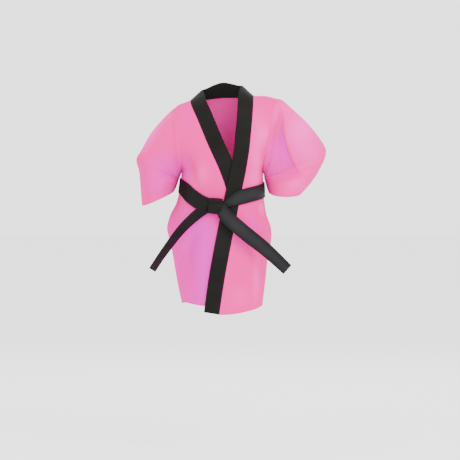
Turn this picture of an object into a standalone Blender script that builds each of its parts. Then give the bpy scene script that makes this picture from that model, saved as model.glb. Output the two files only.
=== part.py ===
"""A child's happi coat as it is worn: crossed fronts, wide sleeves, a band collar and a tied belt.

Units are metres and +Z is up. The coat faces -Y and the wearer's left is +X. The origin lies
between the shoulders, level with the place where the collar crosses them.
"""

import math
from bisect import bisect_right
from collections import namedtuple

import bmesh
import bpy
from mathutils import Vector

# Cloth
CLOTH_WALL = 0.0014
BAND_WALL = 0.0026
BAND_WIDTH = 0.0415
BELT_WALL = 0.0024
BELT_WIDTH = 0.0385
SEAM_GAP = 0.0003
BENT_SEAM_GAP = 0.0010
UNDERARM_SEAM_GAP = 0.0028
BELT_CLEARANCE = 0.0011

# Body of the coat
UNDERARM = -0.190
ARCH = 2.4
ARMHOLE_OPEN = 0.78
ARMHOLE_ROUND = 4.0
ARMHOLE_LEAN = 1.3
NECK_HALF_WIDTH = 0.084
NAPE_RISE = 0.90
NECK_ROUND = 1.15
LAP = 0.0040
LAP_END_X = (0.083, 0.113)
LAP_START_DOWN = (0.095, 0.150)
SHADED_SIDE = 0.35

# Mesh density
YOKE_ROWS = 12
SKIRT_ROWS = 17
FRONT_COLUMNS = 11
SHOULDER_COLUMNS = 3
NECK_COLUMNS = 12
BAND_COLUMNS = 3
SLEEVE_ROWS = 15
BELT_STEPS = 64
BELT_COLUMNS = 2
TAIL_STEPS = 12

# Half widths to the wearer's right and left, and depths before and behind, at levels down the coat
Girth = namedtuple("Girth", "down right left front back")
GIRTHS = [
    Girth(0.190, 0.1080, 0.1100, 0.0880, 0.0900),
    Girth(0.232, 0.1120, 0.1110, 0.0850, 0.0840),
    Girth(0.258, 0.1170, 0.1120, 0.0835, 0.0830),
    Girth(0.281, 0.1240, 0.1150, 0.0835, 0.0860),
    Girth(0.310, 0.1390, 0.1200, 0.0870, 0.0910),
    Girth(0.346, 0.1480, 0.1320, 0.0920, 0.0950),
    Girth(0.378, 0.1410, 0.1325, 0.0940, 0.0965),
    Girth(0.421, 0.1320, 0.1240, 0.0945, 0.0970),
    Girth(0.486, 0.1210, 0.1170, 0.0940, 0.0970),
    Girth(0.576, 0.1020, 0.1060, 0.0930, 0.0970),
]

# Height of the shoulder line across the coat
Ridge = namedtuple("Ridge", "x z")
RIDGES = [
    Ridge(-0.118, -0.014),
    Ridge(-0.084, -0.001),
    Ridge(0.000, 0.030),
    Ridge(0.084, 0.011),
    Ridge(0.116, 0.010),
    Ridge(0.146, 0.003),
]

# The edges that the collar is sewn to
Edge = namedtuple("Edge", "down x")
RIGHT_FRONT_EDGE = [
    Edge(0.000, -0.084),
    Edge(0.012, -0.083),
    Edge(0.054, -0.065),
    Edge(0.119, -0.038),
    Edge(0.205, 0.000),
    Edge(0.270, 0.018),
    Edge(0.576, 0.037),
]
LEFT_FRONT_EDGE = [
    Edge(-0.011, 0.084),
    Edge(0.032, 0.082),
    Edge(0.119, 0.074),
    Edge(0.194, 0.061),
    Edge(0.300, 0.040),
    Edge(0.464, 0.009),
    Edge(0.576, -0.008),
]

# How the collar band leaves its seam: lie is 0 at the nape, 1 on the shoulder and 2 on the chest,
# where the body has its full depth and the band lies flat
Stand = namedtuple("Stand", "lie inward back up")
STANDS = [
    Stand(0.0, 0.00, -0.16, 0.99),
    Stand(0.5, 0.40, -0.10, 0.91),
    Stand(1.0, 0.72, 0.18, 0.67),
    Stand(1.5, 0.92, 0.02, 0.38),
    Stand(2.0, 0.98, -0.10, 0.05),
]
CHEST_DEPTH = 0.066
FLAT_START = 1.15

# Hem level at the side seam, and how much lower it hangs in the middle
Hem = namedtuple("Hem", "side droop")
HEMS = {"right": Hem(0.541, 0.014), "left": Hem(0.553, 0.022), "back": Hem(0.547, 0.006)}

# Soft folds: a line seen from the front, its depth out of the cloth and its width
Fold = namedtuple("Fold", "face x_top down_top x_end down_end depth width")
FOLDS = [
    Fold("front", -0.098, 0.150, -0.070, 0.225, -0.0045, 0.012),
    Fold("front", -0.070, 0.120, -0.046, 0.230, 0.0030, 0.016),
    Fold("front", 0.092, 0.095, 0.094, 0.215, 0.0040, 0.013),
    Fold("front", -0.088, 0.315, -0.092, 0.470, -0.0045, 0.014),
    Fold("front", -0.052, 0.330, -0.060, 0.520, 0.0040, 0.018),
    Fold("front", 0.086, 0.300, 0.094, 0.450, -0.0050, 0.013),
    Fold("front", 0.062, 0.310, 0.068, 0.540, 0.0040, 0.017),
    Fold("front", 0.104, 0.400, 0.092, 0.550, 0.0035, 0.014),
    Fold("sleeve_left", 0.154, 0.050, 0.152, 0.185, -0.0090, 0.013),
    Fold("sleeve_left", 0.172, 0.120, 0.176, 0.190, -0.0080, 0.015),
    Fold("sleeve_left", 0.196, 0.060, 0.206, 0.150, 0.0040, 0.020),
    Fold("back", -0.080, 0.120, -0.050, 0.205, -0.0040, 0.014),
    Fold("back", 0.086, 0.110, 0.052, 0.210, -0.0045, 0.014),
    Fold("back", -0.084, 0.285, -0.092, 0.520, -0.0050, 0.015),
    Fold("back", -0.040, 0.290, -0.044, 0.560, 0.0045, 0.016),
    Fold("back", 0.004, 0.285, 0.008, 0.500, -0.0050, 0.014),
    Fold("back", 0.046, 0.290, 0.052, 0.560, 0.0050, 0.015),
    Fold("back", 0.088, 0.285, 0.094, 0.480, -0.0045, 0.013),
]

# Sleeve sections from armhole to cuff: the outer and the inner line seen from the front, the
# section's half depth, the middle of that depth, and how far its front edge drops
Section = namedtuple("Section", "along outer_x outer_down inner_x inner_down depth middle drop")
SLEEVES = {
    "sleeve_right": [
        Section(0.00, -0.1190, 0.014, -0.1112, 0.190, 0.062, 0.000, 0.000),
        Section(0.15, -0.1500, 0.041, -0.1124, 0.197, 0.067, 0.002, 0.000),
        Section(0.32, -0.1900, 0.087, -0.1134, 0.205, 0.072, 0.006, 0.000),
        Section(0.48, -0.2190, 0.137, -0.1172, 0.214, 0.075, 0.011, 0.000),
        Section(0.60, -0.2310, 0.161, -0.1190, 0.220, 0.077, 0.013, 0.000),
        Section(0.74, -0.2230, 0.196, -0.1216, 0.228, 0.078, 0.011, 0.002),
        Section(0.87, -0.2190, 0.240, -0.1252, 0.237, 0.077, 0.008, 0.004),
        Section(1.00, -0.2155, 0.284, -0.1300, 0.246, 0.075, 0.005, 0.006),
    ],
    "sleeve_left": [
        Section(0.00, 0.1470, -0.003, 0.1132, 0.190, 0.062, 0.000, 0.000),
        Section(0.07, 0.1640, 0.001, 0.1138, 0.194, 0.065, 0.001, 0.000),
        Section(0.15, 0.1880, 0.022, 0.1140, 0.197, 0.068, 0.002, 0.000),
        Section(0.32, 0.2320, 0.065, 0.1144, 0.205, 0.073, 0.006, 0.000),
        Section(0.48, 0.2660, 0.107, 0.1154, 0.214, 0.077, 0.011, 0.000),
        Section(0.60, 0.2810, 0.141, 0.1180, 0.222, 0.079, 0.013, 0.000),
        Section(0.74, 0.2650, 0.184, 0.1200, 0.231, 0.079, 0.011, 0.004),
        Section(0.87, 0.2410, 0.222, 0.1226, 0.240, 0.078, 0.008, 0.009),
        Section(1.00, 0.2150, 0.250, 0.1262, 0.248, 0.077, 0.005, 0.013),
    ],
}

# Creases of the sleeves: from and to a place along the sleeve and round it, in degrees from the
# outer line over the front, with the depth out of the cloth and the width
Crease = namedtuple("Crease", "along_a round_a along_b round_b depth width")
CREASES = {
    "sleeve_right": [
        Crease(0.10, 40, 0.22, 150, -0.0060, 0.014),
        Crease(0.56, 150, 0.66, 40, -0.0022, 0.016),
        Crease(0.80, 120, 0.90, 60, 0.0040, 0.020),
        Crease(0.12, 320, 0.24, 210, -0.0060, 0.014),
        Crease(0.58, 205, 0.64, 310, -0.0070, 0.016),
    ],
    "sleeve_left": [
        Crease(0.09, 35, 0.20, 150, -0.0060, 0.013),
        Crease(0.64, 30, 0.58, 130, -0.0090, 0.016),
        Crease(0.44, 60, 0.42, 120, 0.0050, 0.022),
        Crease(0.80, 50, 0.80, 110, 0.0060, 0.022),
        Crease(0.12, 320, 0.22, 210, -0.0060, 0.014),
        Crease(0.62, 345, 0.58, 220, -0.0080, 0.016),
    ],
}
SLEEVE_LENGTH = 0.30
SLEEVE_RADIUS = 0.075
SLEEVE_SEWN_REACH = 0.35
CREASE_START = 0.10

# The belt's middle line round the waist, turned from the front's middle to the wearer's left.
# It is raised where it passes over the band and the upper front.
Wrap = namedtuple("Wrap", "turn down")
WRAPS = [
    Wrap(-180, 0.230),
    Wrap(-130, 0.230),
    Wrap(-90, 0.230),
    Wrap(-62, 0.240),
    Wrap(-44, 0.259),
    Wrap(-24, 0.279),
    Wrap(-8, 0.287),
    Wrap(6, 0.279),
    Wrap(27, 0.262),
    Wrap(60, 0.249),
    Wrap(90, 0.242),
    Wrap(130, 0.232),
    Wrap(180, 0.230),
]
RAISED_START_X = (-0.065, -0.018)
RAISED_END_X = (0.084, 0.120)
TURN_STEP = 2.0

# The knot, and the two free ends: each row is a place on the end's middle line and the
# direction of its width, which is how far the end is turned
KNOT_CENTRE = Vector((-0.017, -0.1002, -0.286))
KNOT_HALF = Vector((0.0220, 0.0065, 0.0190))
KNOT_TILT = math.radians(-14)
KNOT_EDGE = 0.0045
Tail = namedtuple("Tail", "along x y z across_x across_y across_z")
TAILS = {
    "belt_tail_right": [
        Tail(0.00, -0.0430, -0.1038, -0.2920, 0.45, 0.50, -0.55),
        Tail(0.15, -0.0650, -0.1120, -0.3080, 0.45, 0.62, -0.40),
        Tail(0.40, -0.1070, -0.1160, -0.3480, 0.40, 0.72, -0.34),
        Tail(0.75, -0.1540, -0.1080, -0.4090, 0.36, 0.80, -0.27),
        Tail(1.00, -0.1850, -0.1010, -0.4560, 0.35, 0.82, -0.25),
    ],
    "belt_tail_left": [
        Tail(0.00, 0.0008, -0.1045, -0.3052, -0.62, 0.05, -0.72),
        Tail(0.10, 0.0150, -0.1100, -0.3190, -0.63, 0.05, -0.72),
        Tail(0.35, 0.0610, -0.1180, -0.3570, -0.64, 0.05, -0.76),
        Tail(0.65, 0.1150, -0.1150, -0.4000, -0.60, 0.36, -0.72),
        Tail(1.00, 0.1740, -0.1080, -0.4550, -0.52, 0.60, -0.62),
    ],
}

# Colours and roughness
PINK = (0.85, 0.20, 0.45, 1.0)
BLACK = (0.035, 0.035, 0.038, 1.0)
CLOTH_ROUGHNESS = 0.75
BAND_ROUGHNESS = 0.60


def smooth(value, start, end):
    """Runs from 0 at start to 1 at end, with soft ends."""
    share = min(max((value - start) / (end - start), 0.0), 1.0)
    return share * share * (3.0 - 2.0 * share)


def read(table, key):
    """The table's row at any key in its first column, on a smooth curve through its rows."""
    keys = [row[0] for row in table]
    low = min(max(bisect_right(keys, key) - 1, 0), len(keys) - 2)

    def slope(index, column):
        before = max(index - 1, 0)
        after = min(index + 1, len(keys) - 1)
        return (table[after][column] - table[before][column]) / (keys[after] - keys[before])

    span = keys[low + 1] - keys[low]
    t = min(max((key - keys[low]) / span, 0.0), 1.0)
    values = [key]
    for column in range(1, len(table[0])):
        start = table[low][column]
        end = table[low + 1][column]
        rise = (2 * t**3 - 3 * t**2 + 1) * start + (3 * t**2 - 2 * t**3) * end
        bend = (t**3 - 2 * t**2 + t) * slope(low, column) + (t**3 - t**2) * slope(low + 1, column)
        values.append(rise + span * bend)
    return type(table[0])(*values)


def fade_at_ends(along):
    """How much of a fold is left at a share of its length: it starts and ends softly."""
    return smooth(along, -0.25, 0.35) * (1.0 - smooth(along, 0.75, 1.25))


def fold_height(face, point, down):
    """How far the folds of a face lift or sink the cloth at a place seen from the front."""
    total = 0.0
    for fold in FOLDS:
        if fold.face != face:
            continue
        start = Vector((fold.x_top, fold.down_top))
        line = Vector((fold.x_end, fold.down_end)) - start
        offset = Vector((point.x, down)) - start
        along = offset.dot(line) / line.length_squared
        aside = abs(offset.cross(line)) / line.length
        total += fold.depth * fade_at_ends(along) * math.exp(-((aside / fold.width) ** 2))
    return total


def ring(face, side, level):
    """Reach, depth and end angle of the body's level: below 0 in metres, above 0 as a share of the yoke."""
    if level <= 0.0:
        girth = read(GIRTHS, -UNDERARM - level)
        reach = girth.left if side > 0 else girth.right
        return reach, girth.front if face < 0 else girth.back, math.pi / 2
    top = GIRTHS[0]
    depth = (top.front if face < 0 else top.back) * (1.0 - level**ARCH) ** (1.0 / ARCH)
    cut = ARMHOLE_OPEN * math.sqrt(1.0 - (1.0 - level) ** ARMHOLE_ROUND)
    end = math.acos(cut)
    low, high = (top.left, RIDGES[-1].x) if side > 0 else (top.right, -RIDGES[0].x)
    armhole = low + (high - low) * level**ARMHOLE_LEAN
    return armhole / math.sin(end), depth, end


def body_point(face, angle, level, out=0.0):
    """A place on the body's cloth, out from it by a distance. The angle runs from the middle to the left."""
    side = 1 if angle >= 0 else -1
    reach, depth, _ = ring(face, side, level)
    point = Vector((reach * math.sin(angle), face * max(depth * math.cos(angle), SEAM_GAP), 0.0))
    if level <= 0.0:
        point.z = UNDERARM + level
    else:
        point.z = UNDERARM + (read(RIDGES, point.x).z - UNDERARM) * level
    normal = Vector((depth * math.sin(angle), face * reach * math.cos(angle), 0.0))
    lift = fold_height("front" if face < 0 else "back", point, -point.z)
    lift *= smooth(math.cos(angle), 0.0, SHADED_SIDE)
    if normal.length > 0:
        point += normal.normalized() * (lift + out)
    return point


def level_at(x, z):
    """The body's level at a place seen from the front."""
    if z <= UNDERARM:
        return z - UNDERARM
    return min((z - UNDERARM) / (read(RIDGES, x).z - UNDERARM), 1.0)


def lap(x, z):
    """How far the upper front stands off the lower one."""
    return LAP * (1.0 - smooth(x, *LAP_END_X)) * smooth(-z, *LAP_START_DOWN)


def front_at(x, z, upper):
    """A place on the front of the body, from where it is seen."""
    level = level_at(x, z)
    reach = ring(-1, 1 if x >= 0 else -1, level)[0]
    angle = math.asin(min(max(x / reach, -1.0), 1.0))
    return body_point(-1, angle, level, lap(x, z) if upper else 0.0)


def row_level(row, angle, hem):
    """The level of a panel's row: the yoke's rows first, then those down to the hem."""
    if row <= YOKE_ROWS:
        return (1.0 + math.cos(math.pi * row / YOKE_ROWS)) / 2.0
    length = hem.side + hem.droop * math.cos(angle) ** 2 + UNDERARM
    return -length * (row - YOKE_ROWS) / SKIRT_ROWS


def edge_place(row, name):
    """Where a front's row meets the collar: x and z as seen from the front, and the row's angle there."""
    edge = RIGHT_FRONT_EDGE if name == "right" else LEFT_FRONT_EDGE
    side = -1 if name == "right" else 1
    x = side * NECK_HALF_WIDTH
    for _ in range(8):
        angle = 0.0
        for _ in range(3):
            level = row_level(row, angle, HEMS[name])
            reach = ring(-1, 1 if x >= 0 else -1, level)[0]
            angle = math.asin(min(max(x / reach, -1.0), 1.0))
        z = UNDERARM + level if level <= 0 else UNDERARM + (read(RIDGES, x).z - UNDERARM) * level
        x = read(edge, -z).x
    return x, z, angle


def front_point(name, across, row):
    """A place on a front, from the armhole or side seam (0) to the collar (1)."""
    side = -1 if name == "right" else 1
    x, z, inner = edge_place(row, name)
    end = ring(-1, side, row_level(row, side * math.pi / 2, HEMS[name]))[2]
    angle = side * end + (inner - side * end) * across
    level = row_level(row, angle, HEMS[name])
    place = body_point(-1, angle, level)
    return body_point(-1, angle, level, lap(place.x, place.z) if name == "left" else 0.0)


def back_turn(column, level):
    """The angle of a back column: the outer columns cross the shoulders, the others end at the neckline."""
    last = 2 * SHOULDER_COLUMNS + NECK_COLUMNS
    side = -1 if column <= last / 2 else 1
    from_edge = column if side < 0 else last - column
    high = RIDGES[-1].x if side > 0 else -RIDGES[0].x
    top = math.acos(ARMHOLE_OPEN)
    neck = math.asin(NECK_HALF_WIDTH / high * math.sin(top)) / top
    if from_edge <= SHOULDER_COLUMNS:
        share = 1.0 - (1.0 - neck) * from_edge / SHOULDER_COLUMNS
    else:
        share = neck * (1.0 - (from_edge - SHOULDER_COLUMNS) / (NECK_COLUMNS / 2))
    return side * share * ring(1, side, level)[2], share / neck


def back_point(column, row):
    """A place on the back panel."""
    level = row_level(row, 0.0, HEMS["back"])
    angle, share = back_turn(column, level)
    if row <= YOKE_ROWS:
        if share < 1.0:
            level *= 1.0 - (1.0 - NAPE_RISE) * (1.0 - share * share) ** NECK_ROUND
            angle = back_turn(column, level)[0]
    else:
        level = row_level(row, angle, HEMS["back"])
    return body_point(1, angle, level)


def armhole_point(side, step):
    """A place on the armhole: steps run from the shoulder over the front to the underarm, and back."""
    face = -1 if step <= YOKE_ROWS else 1
    row = step if face < 0 else 2 * YOKE_ROWS - step
    level = row_level(row, 0.0, HEMS["back"])
    point = body_point(face, side * ring(face, side, level)[2], level)
    if row in (0, YOKE_ROWS):
        point.y = 0.0
    return point


def crease_height(creases, along, turn):
    """How far the creases lift or sink a sleeve's cloth."""
    total = 0.0
    for crease in creases:
        middle = math.radians(crease.round_a + crease.round_b) / 2.0
        near_turn = middle + math.remainder(turn - middle, 2.0 * math.pi)
        start = Vector((crease.along_a * SLEEVE_LENGTH, math.radians(crease.round_a) * SLEEVE_RADIUS))
        end = Vector((crease.along_b * SLEEVE_LENGTH, math.radians(crease.round_b) * SLEEVE_RADIUS))
        line = end - start
        offset = Vector((along * SLEEVE_LENGTH, near_turn * SLEEVE_RADIUS)) - start
        share = offset.dot(line) / line.length_squared
        aside = abs(offset.cross(line)) / line.length
        total += crease.depth * fade_at_ends(share) * math.exp(-((aside / crease.width) ** 2))
    return total


def section_point(section, turn, out=0.0):
    """A place on a sleeve's section, with turn 0 on the outer line and the front next."""
    outer = Vector((section.outer_x, 0.0, -section.outer_down))
    inner = Vector((section.inner_x, 0.0, -section.inner_down))
    half = (outer - inner) / 2
    deep = Vector((0.0, -section.depth, -section.drop))
    stretch = section.depth / half.length
    normal = half * stretch * math.cos(turn) + deep / stretch * math.sin(turn)
    middle = (outer + inner) / 2 + Vector((0.0, section.middle, 0.0))
    return middle + half * math.cos(turn) + deep * math.sin(turn) + normal.normalized() * out


def sleeve_point(name, step, row):
    """A place on a sleeve, whose first row follows the armhole."""
    table = SLEEVES[name]
    side = -1 if name == "sleeve_right" else 1
    along = row / SLEEVE_ROWS
    turn = math.pi * step / YOKE_ROWS
    section = read(table, along)
    plain = section_point(section, turn)
    front = smooth(math.sin(turn), 0.0, SHADED_SIDE)
    out = crease_height(CREASES[name], along, turn) + fold_height(name, plain, -plain.z) * front
    point = section_point(section, turn, out * smooth(along, 0.0, CREASE_START))
    first = section_point(table[0], turn)
    sewn = armhole_point(side, step) - first
    low = (1.0 - math.cos(turn)) / 2.0
    sewn.x += side * (BENT_SEAM_GAP + (UNDERARM_SEAM_GAP - BENT_SEAM_GAP) * smooth(low, 0.4, 1.0))
    return point + sewn * (1.0 - smooth(along, 0.0, SLEEVE_SEWN_REACH))


def stand_direction(lie, side):
    """Which way the collar band leaves its seam where it stands up round the neck."""
    stand = read(STANDS, lie)
    return Vector((-side * stand.inward, stand.back, stand.up)).normalized()


def front_band(name, row, width):
    """A place on the band along a front, a width away from the seam."""
    side = -1 if name == "right" else 1
    x, z, _ = edge_place(row, name)
    near = edge_place(max(row - 1, 0), name)
    far = edge_place(min(row + 1, YOKE_ROWS + SKIRT_ROWS), name)
    run = Vector((far[0] - near[0], far[1] - near[1])).normalized()
    aside = Vector((run.y, -run.x)) * side
    seam = front_at(x, z, name == "left")
    lie = 1.0 + min(abs(seam.y) / CHEST_DEPTH, 1.0)
    flat = smooth(lie, FLAT_START, 2.0)

    def place(distance):
        spot = front_at(x + aside.x * distance, z + aside.y * distance, name == "left")
        stood = seam + stand_direction(lie, side) * distance
        return stood.lerp(spot, flat)

    true_width = (place(BAND_WIDTH) - seam).length
    gap = BENT_SEAM_GAP + (SEAM_GAP - BENT_SEAM_GAP) * flat
    return seam + (place(max(width, gap)) - seam) * (BAND_WIDTH / true_width)


def neck_band(column, width):
    """A place on the band along the back neckline."""
    seam = back_point(column, 0)
    middle = SHOULDER_COLUMNS + NECK_COLUMNS / 2
    lie = abs(column - middle) / (NECK_COLUMNS / 2)
    side = -1 if column <= middle else 1
    return seam + stand_direction(lie, side) * max(width, BENT_SEAM_GAP)


def collar_point(station, across):
    """A place on the collar, from the right front's hem, round the neck, to the left front's hem."""
    rows = YOKE_ROWS + SKIRT_ROWS
    width = BAND_WIDTH * across
    if station < rows:
        return front_band("right", rows - station, width)
    if station < rows + NECK_COLUMNS + 1:
        return neck_band(SHOULDER_COLUMNS + station - rows, width)
    return front_band("left", station - rows - NECK_COLUMNS, width)


def waist_point(turn, down, out):
    """A place over the waist, with the turn in degrees from the front's middle to the left."""
    turn = (turn + 180.0) % 360.0 - 180.0
    face = -1 if abs(turn) <= 90.0 else 1
    angle = math.radians(turn if face < 0 else math.copysign(180.0 - abs(turn), turn))
    return body_point(face, angle, -down - UNDERARM, out)


def belt_point(step, across):
    """A place on the belt's loop, across from its upper (-1) to its lower edge (1)."""
    turn = -180.0 + 360.0 * (step % BELT_STEPS) / BELT_STEPS
    down = read(WRAPS, turn).down
    before = read(WRAPS, max(turn - TURN_STEP, -180.0)).down
    after = read(WRAPS, min(turn + TURN_STEP, 180.0)).down
    run = waist_point(turn + TURN_STEP, down, 0.0) - waist_point(turn - TURN_STEP, down, 0.0)
    arc = run.length / (2.0 * TURN_STEP)
    fall = (after - before) / (2.0 * TURN_STEP)
    slope = math.atan2(fall, arc)
    reach = across * BELT_WIDTH / 2
    turn -= reach * math.sin(slope) / arc
    down += reach * math.cos(slope)
    x = waist_point(turn, down, 0.0).x
    layers = (LAP + BAND_WALL / 2 - CLOTH_WALL / 2) if abs(turn) < 90.0 else 0.0
    raised = layers * smooth(x, *RAISED_START_X) * (1.0 - smooth(x, *RAISED_END_X))
    return waist_point(turn, down, CLOTH_WALL / 2 + BELT_WALL / 2 + BELT_CLEARANCE + raised)


def tail_point(name, step, across):
    """A place on a free end of the belt."""
    tail = read(TAILS[name], step / TAIL_STEPS)
    turned = Vector((tail.across_x, tail.across_y, tail.across_z)).normalized()
    return Vector((tail.x, tail.y, tail.z)) + turned * (across * BELT_WIDTH / 2)


def cloth_material(name, colour, roughness):
    """A plain cloth finish."""
    material = bpy.data.materials.new(name)
    material.use_nodes = True
    shader = material.node_tree.nodes["Principled BSDF"]
    shader.inputs["Base Color"].default_value = colour
    shader.inputs["Roughness"].default_value = roughness
    shader.inputs["Metallic"].default_value = 0.0
    material.diffuse_color = colour
    return material


def place_object(name, mesh, colour, roughness, parts, holder):
    """Adds a named sub-part to the coat."""
    mesh.materials.append(cloth_material(name, colour, roughness))
    mesh.shade_smooth()
    sub_part = bpy.data.objects.new(name, mesh)
    parts.objects.link(sub_part)
    sub_part.parent = holder
    return sub_part


def wall_object(name, columns, rows, place, wall, colour, roughness, parts, holder):
    """A cloth wall: a grid placed by a function of its column and row, and given its thickness."""
    mesh = bpy.data.meshes.new(name)
    surface = bmesh.new()
    bmesh.ops.create_grid(surface, x_segments=columns, y_segments=rows, size=1.0)
    for corner in surface.verts:
        column = round((corner.co.x + 1.0) / 2.0 * columns)
        row = round((corner.co.y + 1.0) / 2.0 * rows)
        corner.co = place(column, row)
    bmesh.ops.remove_doubles(surface, verts=surface.verts, dist=0.00001)
    bmesh.ops.recalc_face_normals(surface, faces=surface.faces)
    surface.to_mesh(mesh)
    surface.free()
    sub_part = place_object(name, mesh, colour, roughness, parts, holder)
    thickness = sub_part.modifiers.new("wall", "SOLIDIFY")
    thickness.thickness = wall
    thickness.offset = 0.0
    thickness.use_even_offset = True
    return sub_part


def knot_object(parts, holder):
    """The knot: a soft block from a coarse cage."""
    mesh = bpy.data.meshes.new("belt_knot")
    cage = bmesh.new()
    bmesh.ops.create_cube(cage, size=2.0)
    for corner in cage.verts:
        corner.co = Vector(half * value for half, value in zip(KNOT_HALF, corner.co))
    cage.to_mesh(mesh)
    cage.free()
    sub_part = place_object("belt_knot", mesh, BLACK, BAND_ROUGHNESS, parts, holder)
    sub_part.location = KNOT_CENTRE
    sub_part.rotation_euler.y = KNOT_TILT
    edges = sub_part.modifiers.new("edges", "BEVEL")
    edges.width = KNOT_EDGE
    edges.segments = 2
    soft = sub_part.modifiers.new("soft", "SUBSURF")
    soft.levels = 1
    soft.render_levels = 1
    return sub_part


def build():
    """Clears the scene and makes the coat."""
    for old in list(bpy.data.objects):
        bpy.data.objects.remove(old)
    parts = bpy.data.collections.new("happi_coat")
    bpy.context.scene.collection.children.link(parts)
    holder = bpy.data.objects.new("shoulders", None)
    parts.objects.link(holder)
    rows = YOKE_ROWS + SKIRT_ROWS
    cloth = (CLOTH_WALL, PINK, CLOTH_ROUGHNESS, parts, holder)
    band = (BAND_WALL, BLACK, BAND_ROUGHNESS, parts, holder)
    belt = (BELT_WALL, BLACK, BAND_ROUGHNESS, parts, holder)
    wall_object("back", 2 * SHOULDER_COLUMNS + NECK_COLUMNS, rows, back_point, *cloth)
    for name in ("right", "left"):
        wall_object(
            "front_" + name,
            FRONT_COLUMNS,
            rows,
            lambda column, row, name=name: front_point(name, column / FRONT_COLUMNS, row),
            *cloth,
        )
        wall_object(
            "sleeve_" + name,
            2 * YOKE_ROWS,
            SLEEVE_ROWS,
            lambda step, row, name="sleeve_" + name: sleeve_point(name, step, row),
            *cloth,
        )
        wall_object(
            "belt_tail_" + name,
            TAIL_STEPS,
            BELT_COLUMNS,
            lambda step, row, name="belt_tail_" + name: tail_point(name, step, 2 * row / BELT_COLUMNS - 1),
            *belt,
        )
    wall_object(
        "collar",
        2 * rows + NECK_COLUMNS,
        BAND_COLUMNS,
        lambda station, column: collar_point(station, column / BAND_COLUMNS),
        *band,
    )
    wall_object(
        "belt_loop",
        BELT_STEPS,
        BELT_COLUMNS,
        lambda step, row: belt_point(step, 2 * row / BELT_COLUMNS - 1),
        *belt,
    )
    knot_object(parts, holder)


build()
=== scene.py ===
"""A child's happi coat as it is worn, sewn from pink plain cloth with a black band and belt.

Units are metres and +Z is up. The coat faces -Y and its own left is +X. The origin lies between
the shoulders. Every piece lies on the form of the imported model.
"""

import math
from bisect import bisect_right
from collections import namedtuple
from functools import lru_cache, partial

import bmesh
import bpy
from mathutils import Matrix, Vector, noise


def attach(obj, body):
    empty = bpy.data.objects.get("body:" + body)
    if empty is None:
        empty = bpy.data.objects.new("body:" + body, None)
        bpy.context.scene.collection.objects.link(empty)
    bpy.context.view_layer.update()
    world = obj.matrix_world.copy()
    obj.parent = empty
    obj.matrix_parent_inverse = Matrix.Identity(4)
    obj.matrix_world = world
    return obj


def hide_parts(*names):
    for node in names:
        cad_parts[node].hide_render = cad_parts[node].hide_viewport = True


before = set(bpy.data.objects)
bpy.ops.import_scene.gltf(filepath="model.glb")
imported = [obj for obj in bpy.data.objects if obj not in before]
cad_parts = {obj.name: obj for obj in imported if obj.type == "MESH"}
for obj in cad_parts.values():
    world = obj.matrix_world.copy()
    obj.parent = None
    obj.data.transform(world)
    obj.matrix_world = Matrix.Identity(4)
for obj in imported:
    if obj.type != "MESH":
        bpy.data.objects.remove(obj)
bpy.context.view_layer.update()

# The back panel: one width of pink plain-weave cotton and polyester, cut straight, with the back
# neckline hollowed out. It is sewn to the fronts at the shoulders and down the sides below the
# armholes, and hangs from the shoulders in soft flutes that the belt gathers at the waist.
UNDERARM = -0.190
ARCH = 2.4
ARMHOLE_OPEN = 0.78
ARMHOLE_ROUND = 4.0
ARMHOLE_LEAN = 1.3
NECK_HALF_WIDTH = 0.084
NAPE_RISE = 0.90
NECK_ROUND = 1.15
YOKE_ROWS = 12
SKIRT_ROWS = 17
SHOULDER_COLUMNS = 3
NECK_COLUMNS = 12
BODY_FINENESS = 6
CLOTH_WALL = 0.0009
CENTRE_GAP = 0.0002
SEWN_SHUT = 0.00002
SHADED_SIDE = 0.35
FOLD_REACH = 3.0
FOLD_FADE = (-0.25, 0.35, 0.75, 1.25)
RIPPLE_HEIGHT = 0.0010
RIPPLE_TALL = 2.2
BODY_RIPPLE = 0.034
HEM_DEPTH = 0.0135
HEM_SEWN_IN = 0.1
BACK_HEM_LENGTH = 0.300
STITCH_PITCH = 0.0034
STITCH_LENGTH = 0.0026
STITCH_RADIUS = 0.00028
STITCH_PROUD = 0.3
STITCH_PROBE = 0.04
SOFTENED = ("back_cloth", "front_right_cloth", "front_left_cloth")
EASED_REACH = 0.020
EASED_TIMES = 24
SHARP_EDGE = math.radians(60)

# A piece as it is cut, and its area where it isn't a rectangle
Cut = namedtuple("Cut", "width length area", defaults=(None,))
BACK_CUT = Cut(0.330, 0.589, 0.183)

# The fold at a hem, from outside to inside
HemFold = namedtuple("HemFold", "inward up")
HEM_FOLD = [
    HemFold(0.0000, 0.0000),
    HemFold(0.0002, -0.0003),
    HemFold(0.0010, -0.0003),
    HemFold(0.0012, 0.0000),
]

Girth = namedtuple("Girth", "down right left front back")
GIRTHS = [
    Girth(0.190, 0.1080, 0.1100, 0.0880, 0.0900),
    Girth(0.232, 0.1120, 0.1110, 0.0850, 0.0840),
    Girth(0.258, 0.1170, 0.1120, 0.0835, 0.0830),
    Girth(0.281, 0.1240, 0.1150, 0.0835, 0.0860),
    Girth(0.310, 0.1390, 0.1200, 0.0870, 0.0910),
    Girth(0.346, 0.1480, 0.1320, 0.0920, 0.0950),
    Girth(0.378, 0.1410, 0.1325, 0.0940, 0.0965),
    Girth(0.421, 0.1320, 0.1240, 0.0945, 0.0970),
    Girth(0.486, 0.1210, 0.1170, 0.0940, 0.0970),
    Girth(0.576, 0.1020, 0.1060, 0.0930, 0.0970),
]
Ridge = namedtuple("Ridge", "x z")
RIDGES = [
    Ridge(-0.118, -0.014),
    Ridge(-0.084, -0.001),
    Ridge(0.000, 0.030),
    Ridge(0.084, 0.011),
    Ridge(0.116, 0.010),
    Ridge(0.146, 0.003),
]
Hem = namedtuple("Hem", "side droop")
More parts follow.
